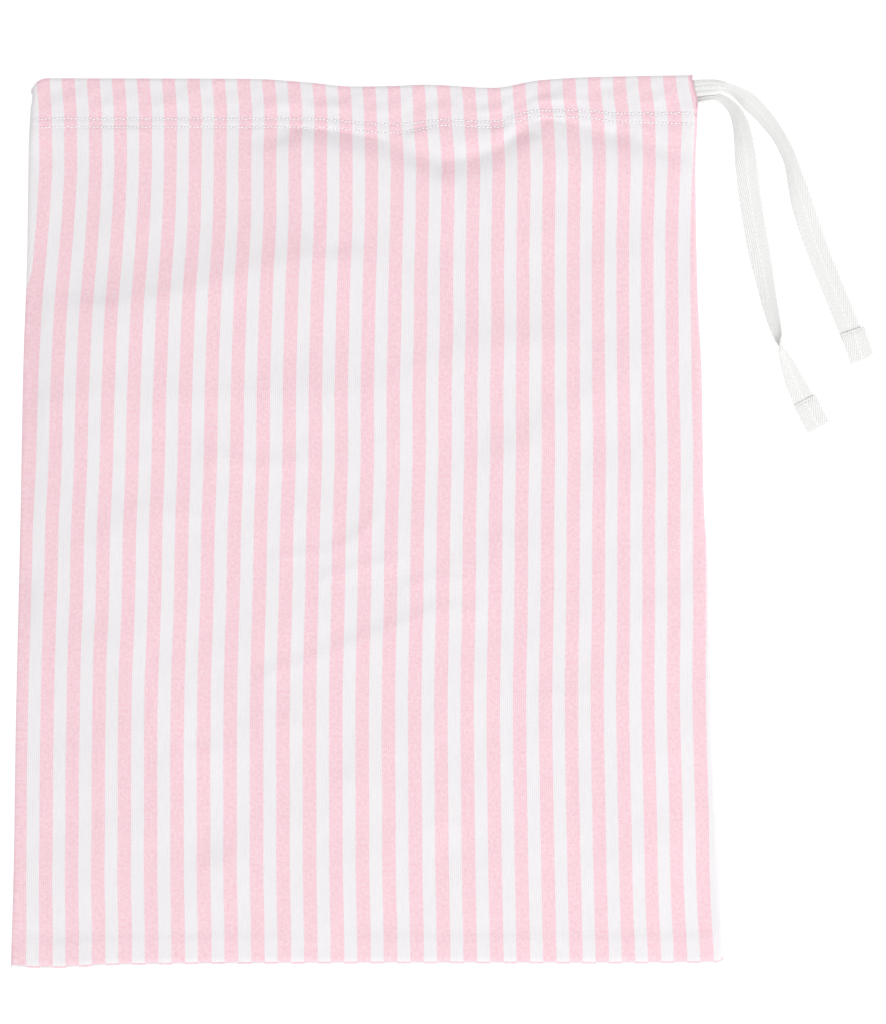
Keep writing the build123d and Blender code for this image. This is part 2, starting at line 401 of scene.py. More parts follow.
# ---- the drawstring: two free ends, and the run in the casing between them ----
FRONT_ROUTE = [
    (0.1840, 0.2444, 0.00645), (0.1960, 0.2456, 0.0064), (0.2060, 0.2442, 0.0060),
    (0.2160, 0.2370, 0.0060), (0.2260, 0.2265, 0.0055), (0.2335, 0.2160, 0.0055),
    (0.2392, 0.2045, 0.0050), (0.2440, 0.1870, 0.0030), (0.2495, 0.1690, 0.0011),
    (0.2560, 0.1510, 0.0005), (0.2640, 0.1310, 0.0005), (0.2722, 0.1110, 0.0005),
    (0.2803, 0.0917, 0.0005),
]
BACK_ROUTE = [
    (0.1840, 0.2385, 0.0018), (0.1905, 0.2399, 0.0032), (0.1975, 0.2404, 0.0036),
    (0.2040, 0.2365, 0.0036), (0.2088, 0.2310, 0.0038), (0.2118, 0.2225, 0.0034),
    (0.2135, 0.2120, 0.0026), (0.2150, 0.1985, 0.0012), (0.2172, 0.1800, 0.0005),
    (0.2203, 0.1610, 0.0005), (0.2245, 0.1400, 0.0008), (0.2276, 0.1235, 0.0016),
    (0.2303, 0.1120, 0.0028), (0.2329, 0.1020, 0.0036), (0.2347, 0.0960, 0.0034),
    (0.2388, 0.0865, 0.0020), (0.2440, 0.0745, 0.0009), (0.2495, 0.0640, 0.0005),
    (0.2555, 0.0532, 0.0005),
]
TAB_LENGTH = 17.5
TAB_WIDTH = 14.2  # the folded end spreads a little
TAB_STITCHES = 5
TAB_STITCH_PITCH = 2.1
ACROSS = np.concatenate([[-1.0, -0.96], np.linspace(-0.88, 0.88, 23), [0.96, 1.0]])


def spline_points(route):
    """Points, in millimetres, along the NURBS line that a route's control points make."""
    curve = bpy.data.curves.new("route", "CURVE")
    curve.dimensions = "3D"
    curve.resolution_u = 12
    spline = curve.splines.new("NURBS")
    spline.points.add(len(route) - 1)
    for point, place in zip(spline.points, route):
        point.co = (*place, 1.0)
    spline.order_u = 3
    spline.use_endpoint_u = True
    holder = add_object("route", curve)
    bpy.context.view_layer.update()
    line = bpy.data.meshes.new_from_object(
        holder.evaluated_get(bpy.context.evaluated_depsgraph_get())
    )
    points = np.array([vertex.co for vertex in line.vertices]) / MM
    bpy.data.objects.remove(holder)
    bpy.data.curves.remove(curve)
    bpy.data.meshes.remove(line)
    return points


def even_points(line, step):
    """The same line, with points about a step apart."""
    along = lengths_along(line)
    stops = np.linspace(0.0, along[-1], max(2, round(along[-1] / step) + 1))
    return np.stack([np.interp(stops, along, line[:, k]) for k in range(3)], axis=1)


def ribbon(name, line, roll=None, curl=None, pleat=None, pinch=None, side=None, start=0.0, sense=1.0,
           width=TAPE_WIDTH, thin_end=False):
    """Tape along a line. By distance along it, roll turns it about the line in degrees, curl
    bends it across its width (hollow side up where positive), pleat gives it lengthwise folds in
    millimetres and pinch narrows it. Side is the way across it where that isn't level; start and
    sense number it along its length."""
    along = lengths_along(line)

    def given(curve, otherwise):
        return curve(along) if curve else np.full_like(along, otherwise)

    turn = np.radians(given(roll, 0.0))
    bend = given(curl, 0.0)
    bend = np.where(np.abs(bend) < 1e-4, 1e-4, bend)
    fold = given(pleat, 0.0)
    narrowed = given(pinch, 1.0)
    ahead = np.gradient(line, axis=0)
    ahead /= np.linalg.norm(ahead, axis=1, keepdims=True)
    across = np.cross([0.0, 0.0, 1.0], ahead) if side is None else side - ahead * (ahead @ side)[:, None]
    across = across / np.linalg.norm(across, axis=1, keepdims=True)
    up = np.cross(ahead, across)

    reach = ACROSS[None, :] * width / 2 * narrowed[:, None]
    bend = bend[:, None]
    sideways = np.sin(bend * reach) / bend
    lifted = (1 - np.cos(bend * reach)) / bend
    lifted -= lifted.mean(axis=1, keepdims=True)
    lifted = lifted + fold[:, None] * np.cos(ACROSS * 3.2 * math.pi + 0.6)[None, :]
    out = np.gradient(sideways, axis=1)
    rise = np.gradient(lifted, axis=1)
    size = np.hypot(out, rise)
    skin = TAPE / 2 * np.clip((1.0 - np.abs(ACROSS)) / 0.05, 0.45, 1.0)[None, :]
    if thin_end:
        skin = skin * np.clip((along[-1] - along) / 3.0, 0.35, 1.0)[:, None]
    cosine, sine = np.cos(turn)[:, None], np.sin(turn)[:, None]
    layers = []
    for face in (1.0, -1.0):  # upper skin, then lower
        a = sideways - face * skin * rise / size
        b = lifted + face * skin * out / size
        flat, high = a * cosine - b * sine, a * sine + b * cosine
        layers.append(line[:, None] + flat[..., None] * across[:, None] + high[..., None] * up[:, None])
    ring = np.concatenate([layers[0], layers[1][:, ::-1]], axis=1)
    rows, count = ring.shape[:2]
    row_start, place = np.arange(rows - 1)[:, None] * count, np.arange(count)
    first = (row_start + place).ravel()
    second = (row_start + (place + 1) % count).ravel()
    faces = np.stack([first, first + count, second + count, second], axis=1).tolist()
    faces.append(list(range(count)))
    faces.append(list(range(rows * count - 1, (rows - 1) * count - 1, -1)))
    u = np.tile(np.concatenate([ACROSS, ACROSS[::-1]]), rows)
    v = np.repeat(start + sense * along, count)
    tape = new_mesh(name, ring.reshape(-1, 3), faces, np.stack([u, v], axis=1), TWILL)
    for end in (-1, -2):  # the cut ends stay sharp
        tape.data.polygons[end].use_smooth = False
    return tape


TAPE_STEP = 1.2  # millimetres between the points of a tail
FRONT_LINE = even_points(spline_points(FRONT_ROUTE), TAPE_STEP)
BACK_LINE = even_points(spline_points(BACK_ROUTE), TAPE_STEP)
BACK_END = lengths_along(BACK_LINE)[-1]

# Shape of each tail by distance from the slit. The back tail has a half twist near its end.
front_roll = through(
    (0, -4), (9, -5), (14, 8), (19, 36), (23, 36), (34, 15), (50, 16), (62, 18), (75, 18), (88, 13),
    (98, 8), (112, 1), (120, 0),
)
front_curl = through((0, 0), (20, -0.04), (34, -0.05), (75, -0.05), (98, -0.02), (112, 0))
front_pleat = through((0, 0.14), (8, 0.17), (16, 0.1), (24, 0))
front_pinch = through(
    (0, 0.74), (10, 0.7), (20, 0.5), (27, 0.6), (34, 0.77), (50, 0.7), (62, 0.63), (75, 0.63),
    (88, 0.82), (100, 1),
)


def from_end(*points):
    """Curve points whose places count back from the back tail's end."""
    return [(BACK_END - place, value) for place, value in points]


back_roll = through(
    (0, -6), (8, 0), (13, 14), (20, 32), (27, 34), (34, 28), (47, 16), (58, 6), (70, 0),
    *from_end((98, 0), (86, 5), (71, 9), (63, 13), (57, 32), (51.5, 88), (46, 146), (36, 170)),
    *from_end((22, 178), (14, 180)),
)
back_curl = through(
    (0, 0), (14, -0.02), (28, -0.03), (45, -0.02), (62, 0),
    *from_end((80, 0), (63, 0.05), (57, 0.18), (51.5, 0.5), (46, 0.18), (36, 0.03), (24, 0)),
)
back_pleat = through((0, 0.16), (8, 0.14), (18, 0))
back_pinch = through(
    (0, 0.44), (7, 0.38), (14, 0.38), (20, 0.46), (27, 0.62), (36, 0.78), (47, 0.9), (58, 1),
    *from_end((110, 1), (98, 0.93), (86, 0.8), (71, 0.67), (63, 0.57), (57, 0.49), (51.5, 0.46)),
    *from_end((46, 0.54), (36, 0.74), (22, 0.96), (14, 1)),
)


def keep_off_floor(line, roll, curl, pinch):
    """Raises a tape's middle line where its turned or curled edges would reach the floor."""
    along = lengths_along(line)
    turn = np.radians(roll(along))
    half = TAPE_WIDTH / 2 * pinch(along)
    edge_drop = np.abs(np.sin(turn)) * half + np.abs(curl(along) * np.cos(turn)) * half**2 / 2.7
    line[:, 2] = np.maximum(line[:, 2], TAPE / 2 + 0.1 + edge_drop)


keep_off_floor(FRONT_LINE, front_roll, front_curl, front_pinch)
keep_off_floor(BACK_LINE, back_roll, back_curl, back_pinch)

# The run in the casing starts at the back exit, folds round the left end and comes to the front.
FRONT_TAPE_Z = 6.45
BACK_TAPE_Z = 1.3
TAPE_LEFT_GAP = 5.0  # from the left end of the casing to where the tape starts to turn
tape_centre_y = through((-190, 238), (-60, 237.6), (60, 237.5), (110, 240), (150, 241.5), (184, 244.8))


def casing_line():
    """Middle line of the tape inside the casing."""
    xs = np.linspace(EXIT_X, CASING_LOW[0] + TAPE_LEFT_GAP, 150)
    back_y = tape_centre_y(np.minimum(xs, 150.0)) - 3.2 * smooth((xs - 120.0) / 60.0)
    back = np.stack([xs, back_y, np.full_like(xs, BACK_TAPE_Z)], axis=1)
    radius = (FRONT_TAPE_Z - BACK_TAPE_Z) / 2
    angles = np.linspace(0, math.pi, 12)[1:-1]
    turn = np.stack(
        [
            xs[-1] - 0.8 * radius * np.sin(angles),
            np.full_like(angles, back_y[-1]),
            BACK_TAPE_Z + radius * (1 - np.cos(angles)),
        ],
        axis=1,
    )
    xs = xs[::-1]
    front = np.stack([xs, tape_centre_y(xs), np.full_like(xs, FRONT_TAPE_Z)], axis=1)
    return np.concatenate([back, turn, front])


CASING_LINE = casing_line()
CASING_RUN = lengths_along(CASING_LINE)[-1]
casing_roll = through((0, -6), (25, 0), (CASING_RUN - 30, 0), (CASING_RUN, -4))
casing_pleat = through((0, 0.16), (16, 0), (CASING_RUN - 22, 0), (CASING_RUN, 0.14))
casing_pinch = through((0, 0.44), (30, 1), (CASING_RUN - 30, 1), (CASING_RUN, 0.74))
casing_tape = ribbon(
    "casing_tape", CASING_LINE, casing_roll, None, casing_pleat, casing_pinch,
    side=np.array([0.0, 1.0, 0.0]),
)
front_tail = ribbon(
    "front_tail_tape", FRONT_LINE, front_roll, front_curl, front_pleat, front_pinch, start=CASING_RUN
)
back_tail = ribbon(
    "back_tail_tape", BACK_LINE, back_roll, back_curl, back_pleat, back_pinch, sense=-1.0
)


def make_tab(tail, line, start, sense, skew):
    """Last stretch of tape, turned back on top of the tail, and its row of stitches."""
    end, ahead = line[-1], line[-1] - line[-4]
    ahead = ahead / np.linalg.norm(ahead)
    level = np.array([-ahead[1], ahead[0], 0.0])
    angles = np.linspace(0, math.pi, 9)
    radius = TAPE / 2 + 0.03
    bend = [end + ahead * radius * math.sin(a) + [0, 0, radius * (1 - math.cos(a))] for a in angles]
    back = [
        bend[-1] - (ahead * t - level * skew * t) * TAB_LENGTH + [0, 0, 0.03 - 0.2 * t**4]
        for t in [*np.linspace(0.06, 0.985, 14), 1.0]
    ]
    tab = ribbon(
        f"{tail}_tab_tape", np.array(bend + back), side=level, start=start, sense=sense,
        width=TAB_WIDTH, thin_end=True,
    )
    seam = back[-3] + ahead * 0.6
    lines = []
    for n in range(TAB_STITCHES):
        middle = seam + level * (n - TAB_STITCHES // 2) * TAB_STITCH_PITCH
        lines.append([
            middle + level * t * 1.6 + [0, 0, 0.3 + 0.16 * math.cos(math.pi * t)]
            for t in np.linspace(-0.5, 0.5, 5)
        ])
    return tab, thread(f"{tail}_tab_stitch_row", lines, FINE_THREAD)


FRONT_END = lengths_along(FRONT_LINE)[-1]
front_tab, front_tab_stitches = make_tab("front_tail", FRONT_LINE, CASING_RUN + FRONT_END, 1.0, 0.07)
back_tab, back_tab_stitches = make_tab("back_tail", BACK_LINE, -BACK_END, -1.0, 0.02)


# ---- outline of the bag as it lies, in millimetres ----
left_edge = through(
    (-250, -202), (-190, -200.3), (-120, -199.3), (0, -196.6), (85, -195), (150, -192.8),
    (209, -191.8), (231, -190.6), (236, -190.2), (239, -189.6), (250, -189.4),
)
right_edge = through(
    (-250, 201.8), (-190, 198.6), (-120, 195.2), (-28, 193.2), (10, 190.6), (85, 189.3),
    (130, 187.0), (198, 185.8), (221, 186.6), (231, 186.8), (240, 184.2), (250, 181.4),
)
# How far the mouth, the two rows of stitches and the bottom lie from their straight lines.
mouth_dip = through(
    (-190, 0), (-65, -0.4), (-33, -2.5), (-9, -4.8), (15, -4.4), (32, -3.7), (71, -5.6), (97, -1.4),
    (125, 0.4), (181, 1.7),
)
upper_dip = through(
    (-190, 1.1), (-38, 1.1), (-17, 0), (14, -2.1), (44, 0.3), (71, -0.6), (84, 3), (97, 5.9),
    (123, 5.7), (141, 4), (176, 4.5),
)
lower_dip = through(
    (-190, 1.9), (-38, 1.8), (-17, 1.1), (14, -1.4), (44, 2.9), (71, 1.9), (84, 5), (97, 7.9),
    (123, 7.3), (141, 5), (176, 4.2),
)
bottom_dip = through(
    (-202, -1.0), (-180, -2.1), (-162, -1.3), (-145, -0.4), (-60, 0.5), (40, 0.7), (130, 0.6), (202, 1.1)
)
CORNER_X = -189.7
CORNER = 9.0  # the left end of the mouth is rounded by this much
LOW_CORNER_X = 202.3
LOW_CORNER = 5.5  # and so is the right end of the bottom
DIP_STOPS = (0.0, UPPER_ROW, LOWER_ROW, 125.0, 400.0, LENGTH)

# ---- heights of the bag as it lies ----
# Side seams and front ply, by distance from the mouth.
seam_z = through((0, 4.6), (UPPER_ROW, 4.1), (60, 2.5), (400, 2.2), (LENGTH, 1.9))
front_z = through(
    (2, 7.8), (12, 7.6), (20, 7.35), (UPPER_ROW, 7.15), (26.8, 7.2), (LOWER_ROW, 7.0), (33, 6.9),
    (38, 6.5), (50, 5.9), (80, 5.2), (250, 4.9), (440, 4.7), (480, 4.2), (LENGTH, 4.0),
)
BOTTOM_SEAM_Z = 3.0
FOLD_DEPTH = 2.4  # from the mouth back to where the front ply is level
FOLD_LOW = 5.0  # underside of the front hem
BACK_FOLD_DEPTH = 1.5
BACK_HEM_Z = 3.0  # top of the back hem
BACK_SETBACK = 0.9  # the back ply's mouth lies this much behind the front one's
BACK_STRIPE_SHIFT = 0.5  # and its stripes this many to the side

# Ridges and hollows: (half-widths towards the mouth and the bottom, height, how sharp the crest is
# from 0 to 1, points of the crest).
FOLDS = [
    # the fold that hangs from the casing, and the puffed cloth under it
    (2.4, 7.5, -2.3, 0.9, [
        (-42, 223), (-21, 221), (10, 215.5), (26, 209), (41, 204.5), (58, 206), (75, 212), (88, 221),
    ]),
    (8.5, 26.0, 2.5, 0.0, [(-38, 212), (-18, 208), (10, 201), (41, 188), (70, 194), (90, 207)]),
    (5.5, 14.0, 1.6, 0.1, [(-34, 213.5), (-14, 209), (12, 201.5), (30, 195)]),
    (3.5, 5.0, 1.2, 0.0, [(28, 217), (52, 214.5), (76, 219)]),
    (2.2, 7.0, -2.2, 0.8, [(101, 227), (116, 224.5), (140, 219.5)]),
    (2.0, 4.5, -0.9, 0.9, [(140, 220), (162, 213), (183, 206)]),
    (6.0, 18.0, 2.0, 0.0, [(102, 215), (120, 212), (148, 205), (184, 194)]),
    # broad soft folds across the left half
    (12.0, 42.0, 3.6, 0.7, [(-138, 122.5), (-120, 125.5), (-95, 131), (-55, 144), (-32, 150)]),
    (9.0, 12.0, 0.5, 0.2, [(-190, 150), (-172, 126)]),
    (9.0, 20.0, 1.5, 0.4, [(-165, 70), (-80, 68), (0, 73), (30, 86), (62, 100), (116, 100)]),
    (7.0, 12.0, 0.8, 0.2, [(137, 78), (108, 60), (84, 38)]),
    (7.0, 16.0, 2.2, 0.2, [(-190, -42), (-165, -62), (-140, -78), (-105, -128)]),
    (6.5, 12.0, 1.9, 0.3, [(-78, -192), (-50, -210), (-22, -231)]),
    (5.0, 9.0, 1.2, 0.3, [(-6, -144), (18, -156), (36, -170)]),
    (8.0, 8.0, 0.5, 0.0, [(110, 35), (150, 22), (186, 20)]),
    (7.0, 7.0, 0.5, 0.0, [(150, -60), (186, -40)]),
    (8.0, 8.0, 0.5, 0.0, [(120, -200), (180, -170)]),
    (9.0, 12.0, 0.7, 0.1, [(110, 168), (150, 145), (176, 112)]),
    (12.0, 18.0, 1.0, 0.0, [(-188, 10), (-150, -8), (-110, -4)]),
    # small creases left by folding
    (4.5, 5.0, 1.0, 0.3, [(-85, 35), (-60, 31), (-38, 33)]),
    (2.6, 3.5, 0.6, 0.5, [(-33, 44), (-14, 27)]),
    (3.0, 4.0, 0.8, 0.6, [(-48, -20), (-20, -17), (-6, -10), (5, 3)]),
    (2.4, 4.0, 0.8, 0.6, [(-22, -30), (0, -25), (19, -22)]),
    (2.4, 4.0, 0.65, 0.6, [(24, -36), (36, -32), (54, -34)]),
    (3.5, 5.0, 0.8, 0.5, [(62, -51), (40, -50), (10, -62), (-20, -74), (-56, -86)]),
    (3.5, 4.0, 0.4, 0.2, [(75, -10), (118, -22)]),
    (3.0, 4.0, 0.5, 0.3, [(-130, 8), (-90, 2)]),
    (2.6, 3.0, 0.4, 0.3, [(-60, -110), (-20, -120)]),
    (2.4, 3.0, 0.4, 0.3, [(-140, 32), (-118, 38)]),
    (2.6, 3.0, 0.4, 0.3, [(100, -100), (128, -96)]),
    (2.4, 3.0, 0.4, 0.3, [(-150, -170), (-120, -182)]),
]
# Lumps of the casing over the tape: (place across, distance from the mouth, half-widths, height).
PUFFS = (
    (-28, 15.5, 38, 4.5, 0.9), (109, 18, 13, 5, 1.1), (-120, 15, 26, 5, 0.5), (-168, 14, 12, 5, 0.4),
    (48, 11, 16, 4, -0.5), (152, 15, 14, 4, 0.35), (72, 17, 9, 4, 0.5),
)


def fold_height(x, y):
    """Height that the ridges and hollows add at each place."""
    height = np.zeros_like(x)
    for above, below, crest, sharp, points in FOLDS:
        nearest = np.full_like(x, 1e9)
        width = np.full_like(x, above)
        for (x0, y0), (x1, y1) in zip(points, points[1:]):
            run_x, run_y = x1 - x0, y1 - y0
            t = np.clip(((x - x0) * run_x + (y - y0) * run_y) / (run_x**2 + run_y**2), 0, 1)
            away = np.hypot(x - x0 - t * run_x, y - y0 - t * run_y)
            over = smooth((y - y0 - t * run_y) / np.maximum(away, 1e-6) / 0.7 + 0.5)
            width = np.where(away < nearest, below + (above - below) * over, width)
            nearest = np.minimum(nearest, away)
        away = nearest / width
        soft_top = np.exp(-0.5 * away**2)
        sharp_top = np.exp(0.15 - np.sqrt(away**2 + 0.15**2))
        height += crest * (soft_top + (sharp_top - soft_top) * sharp)
    return height


def ripples(x, y):
    """Faint unevenness of soft cloth: a few slow waves at fixed angles."""
    total = np.zeros_like(x)
    for wavelength, angle, phase, height in (
        (83, 0.3, 0.4, 0.22), (61, 1.25, 2.1, 0.2), (47, 2.2, 4.0, 0.13), (31, 0.8, 1.3, 0.07),
        (27, 1.9, 5.2, 0.06), (19, 2.8, 0.9, 0.035), (16, 0.1, 3.3, 0.03),
    ):
        along = x * math.cos(angle) + y * math.sin(angle)
        total += height * np.sin(2 * math.pi * along / wavelength + phase)
    return total


def mouth_wave(x):
    """How far the inside of the front hem sags between the places where it is held."""
    return 0.35 * (1 + np.sin(x / 13.0)) * (1 + np.sin(x / 31.0 + 2)) / 2


def quarter_circle(inside, radius):
    """Height of a rounded edge: 0 at the edge to 1 a radius inside it."""
    return np.sqrt(1.0 - np.clip(1.0 - inside / radius, 0.0, 1.0) ** 2)


def cloth_y(down, x):
    """Where cloth at this distance from the mouth fold lies along the bag."""
    dips = (mouth_dip(x), upper_dip(x), lower_dip(x), 0.0, 0.0, bottom_dip(x))
    y = MOUTH_Y - down + sum(w * d for w, d in zip(shares(DIP_STOPS, down), dips))
    rounding = 1.0 - quarter_circle(x - CORNER_X, CORNER)
    y = y - CORNER * rounding * (1.0 - smooth(down / 22.0))
    rounding = 1.0 - quarter_circle(LOW_CORNER_X - x, LOW_CORNER)
    return y + LOW_CORNER * rounding * smooth((down - LENGTH + 14.0) / 14.0)


def upper_z(x, y, down):
    """Height of the front ply's outer surface away from the edges."""
    in_casing = 1.0 - smooth((down - 33.0) / 14.0)
    to_side = np.minimum(x - left_edge(y), right_edge(y) - x)
    sinking = 1.4 * (1 - smooth(to_side / 55.0)) + 0.4 * (1 - smooth((LENGTH - down) / 40.0))
    height = front_z(down) - (1 - in_casing) * np.minimum(sinking, front_z(down) - seam_z(down) - 1.1)
    free = smooth(to_side / 14.0) * smooth((down - 28.4) / 2.6) * smooth((LENGTH - 5.0 - down) / 16.0)
    height = height + free * (fold_height(x, y) + ripples(x, y))
    channel = smooth((down - 2.0) / 5.0) * (1.0 - smooth((down - 17.0) / 5.0))
    puffs = 0.26 * np.sin(x / 8.3 + 1.0) + 0.2 * np.sin(x / 4.9 + 0.35 * down) + 0.05
    for place, depth, reach, run, lump in PUFFS:
        puffs = puffs + lump * np.exp(-(((x - place) / reach) ** 2) - ((down - depth) / run) ** 2)
    height = height + channel * smooth(to_side / 10.0) * puffs
    for row in (UPPER_ROW, LOWER_ROW):
        height = height - 0.22 * np.exp(-(((down - row) / 0.9) ** 2)) * smooth(to_side / 8.0)
    over_allowance = smooth((down - LENGTH + 17.5) / 5.0) * smooth(to_side / 10.0)
    return height + 0.8 * over_allowance


# ---- stripes: where each lies, as (distance along the bag, millimetres) ----
stripe_start = through(
    (-245, -196.9), (-190, -196.3), (-100, -195.2), (-56, -194), (-10, -193), (35, -190.7),
    (80, -189.6), (125, -187.3), (153, -185), (181, -182.8), (204, -181.7), (229, -181.7),
    (247, -182.8),
)
stripe_pitch = through(
    (-245, 15.0), (-100, 14.8), (-10, 14.75), (80, 14.58), (125, 14.46), (181, 14.27), (247, 14.13)
)
edge_pull = through(
    (-250, -1.0), (-203, -2.1), (-158, -1.6), (-112, -1.9), (-22, -2.6), (23, -3.0), (68, -2.6),
    (113, -2.2), (147, -2.3), (193, -1.1), (215, 0),
)
slit_pull = through((190, 0), (207, 0.8), (217, 1.8), (228, 3.6), (236, 2.0), (250, 0.2))
# Small sideways drifts of the stripes: (stripe, distance along the bag, half-widths, millimetres).
DRIFTS = (
    (9.0, 200, 5.0, 22, -1.2), (15.5, 228, 3.0, 14, -1.2), (17.0, 110, 4.0, 28, 0.9),
    (5.0, 30, 5.0, 45, -0.8), (4.5, -140, 6.0, 60, -0.9), (6.0, -70, 6.0, 35, -0.5),
    (16.0, 249, 1.8, 6, -0.8), (20.5, 237, 3.0, 7, -0.8), (19.0, 22, 5.0, 26, -0.6),
    (4.0, -202, 4.0, 24, -0.5), (12.5, -196, 5.0, 26, -0.4),
)


def stripe_shift(u, y):
    """How far each place on a stripe lies from an even spacing."""
    shift = edge_pull(y) * np.exp(-(((26.0 - u) / 3.5) ** 2))
    shift = shift + slit_pull(y) * np.exp(-np.abs(26.2 - u) / 0.9)
    for stripe, place, stripes, reach, amount in DRIFTS:
        shift = shift + amount * np.exp(-(((u - stripe) / stripes) ** 2) - ((y - place) / reach) ** 2)
    return shift


def stripe_at(x, y):
    """Stripes from the left to each place on the front."""
    start, pitch = stripe_start(y), stripe_pitch(y)
    u = (x - start) / pitch
    for _ in range(6):
        u = (x - start - stripe_shift(u, y)) / pitch
    return u


def stripe_x(u, y):
    """Place across the front of a point this many stripes from the left."""
    return stripe_start(y) + stripe_pitch(y) * u + stripe_shift(u, y)


ROLL = np.radians([0, 12, 25, 40, 56, 73])  # from a side seam up the rounded edge
HEM_ROLL = 4.0  # width over which a hem rises from its side seams


def across_columns(y, inner, left_roll, right_roll):
    """Places across the bag, and how far up the rolled edge each is, from 0 at the seam to 1."""
    rise = np.concatenate([np.sin(ROLL), np.ones(inner), np.sin(ROLL)[::-1]])
    notch = 0.45 * np.clip(1 - ROLL / math.radians(22), 0, 1) ** 2
    low = left_edge(y) + left_roll
    high = right_edge(y) - right_roll
    t = np.linspace(0, 1, inner)[None, :]
    middle = low * (1 - t) + high * t
    left = left_edge(y) + left_roll * (1 - np.cos(ROLL))[None, :] + notch[None, :]
    right = right_edge(y) - right_roll * (1 - np.cos(ROLL))[None, ::-1] - notch[None, ::-1]
    return np.concatenate([left, middle, right], axis=1), rise[None, :]


def numbered(x, y, z, down, shift):
    """Cloth coordinates of a grid: stripes across by distance along the cloth, and down."""
    edge = len(ROLL)
    u = stripe_at(x, y)
    steps = np.hypot(np.diff(x, axis=1), np.diff(z, axis=1)) / stripe_pitch(y)[:, 1:]
    stretch = 1.0 - 0.8 * smooth((down[:, 0] - 60.0) / 60.0)  # the seam shows the first pink stripe
    for c in range(edge - 1, -1, -1):
        u[:, c] = u[:, c + 1] - steps[:, c] * stretch
    for c in range(u.shape[1] - edge, u.shape[1]):
        u[:, c] = u[:, c - 1] + steps[:, c - 1]
    return np.stack([u + shift, np.broadcast_to(down, u.shape)], axis=2)


def gathers(piece):
    """Cloth between the still bag and the part of the mouth that the drawstring pulls along: its place is
    baked into its mesh, and it follows neither body.
    """
    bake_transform(piece)


def slit_open(down):
    """1 beside the slit, 0 below its foot."""
    return 1.0 - smooth((down - SLIT_DEPTH + 1.5) / 4.0)


def sewn_panel(name, x, y, z, down, rise, seam, opening, front=True):
    """Panel whose sides are drawn to the seams, except beside the slit."""
    z = seam + (z - seam) * (rise + (1 - rise) * opening * slit_open(down) * (x > 0))
    across = numbered(x, y, z, down, shift=0.0 if front else BACK_STRIPE_SHIFT)
    return thick_sheet(name, np.stack([x, y, z], axis=2), across, PLY, JERSEY, flip=front)


def make_front_panel():
    """Upper ply: over the fold at the mouth, over the casing and down to the three seams."""
    turn = np.radians([178, 150, 122, 94, 66, 40, 18])  # round the mouth fold, from inside
    body = np.concatenate([
        np.linspace(FOLD_DEPTH, 20, 15)[:-1],
        np.linspace(20, 34, 20)[:-1],
        np.linspace(34, LENGTH - 3.2, 188),
    ])
    drop = np.radians([68, 50, 34, 18, 4])  # down the bottom edge
    fold_radius = 1.953
    end_radius = 3.2
    down = np.concatenate([FOLD_DEPTH - fold_radius * turn, body, LENGTH - end_radius * np.sin(drop)])
    down = down[:, None]
    rows = len(down)
    side_y = MOUTH_Y - down
    for _ in range(2):  # the second time with the side edges where the rows really lie
        x, rise = across_columns(side_y, 184, 3.4, 4.2)
        y = cloth_y(np.maximum(down, FOLD_DEPTH), x)
        side_y = y[:, :1]

    z = upper_z(x, y, np.maximum(down, FOLD_DEPTH))
    n = len(turn)
    top = z[n].copy()
    for r, angle in enumerate(turn):
        share = (1 + math.cos(angle)) / 2
        z[r] = share * top + (1 - share) * (FOLD_LOW - mouth_wave(x[n]))
        y[r] = y[n] + FOLD_DEPTH * math.sin(angle)
    last = rows - len(drop)
    for r, share in zip(range(last, rows), np.sin(drop)):
        z[r] = BOTTOM_SEAM_Z + (z[last - 1] - BOTTOM_SEAM_Z) * share
        y[r] = y[last - 1] - end_radius * math.sqrt(1 - share**2)

    return sewn_panel("front_panel_cloth", x, y, z, down, rise, seam_z(down), 0.95)


def make_back_panel():
    """Lower ply: flat on the floor, rolled up to the seams, and over its own fold at the mouth."""
    turn = np.radians([178, 148, 118, 88, 58, 30])
    body = np.concatenate([np.linspace(BACK_FOLD_DEPTH, 36, 14)[:-1], np.linspace(36, LENGTH - 2.0, 118)])
    drop = np.radians([72, 50, 26, 0, -30, -58])
    under = LENGTH + np.linspace(-1.2, 2.6, len(drop))
    down = np.concatenate([BACK_FOLD_DEPTH - 1.5 * turn, body, under])[:, None]
    rows = len(down)
    x, rise = across_columns(MOUTH_Y - down, 120, 2.4, 2.6)
    y = cloth_y(np.clip(down, BACK_FOLD_DEPTH, LENGTH - 2.0), x) - BACK_SETBACK * (down < 150)
    z = np.zeros_like(x) + 0.12 * (1 + np.sin(x / 17.0) * np.sin(y / 23.0)) * smooth((down - 40) / 30)
    n = len(turn)
    for r, angle in enumerate(turn):
        z[r] = BACK_HEM_Z * (1 - math.cos(angle)) / 2
        y[r] = y[n] + BACK_FOLD_DEPTH * math.sin(angle)
    last = rows - len(drop)
    for r, angle in zip(range(last, rows), drop):
        z[r] = 1.5 - 1.5 * math.sin(angle)
        y[r] = y[last - 1] - 3.4 * math.cos(angle)
    return sewn_panel("back_panel_cloth", x, y, z, down, rise, seam_z(down) - 0.06, 0.8, front=False)


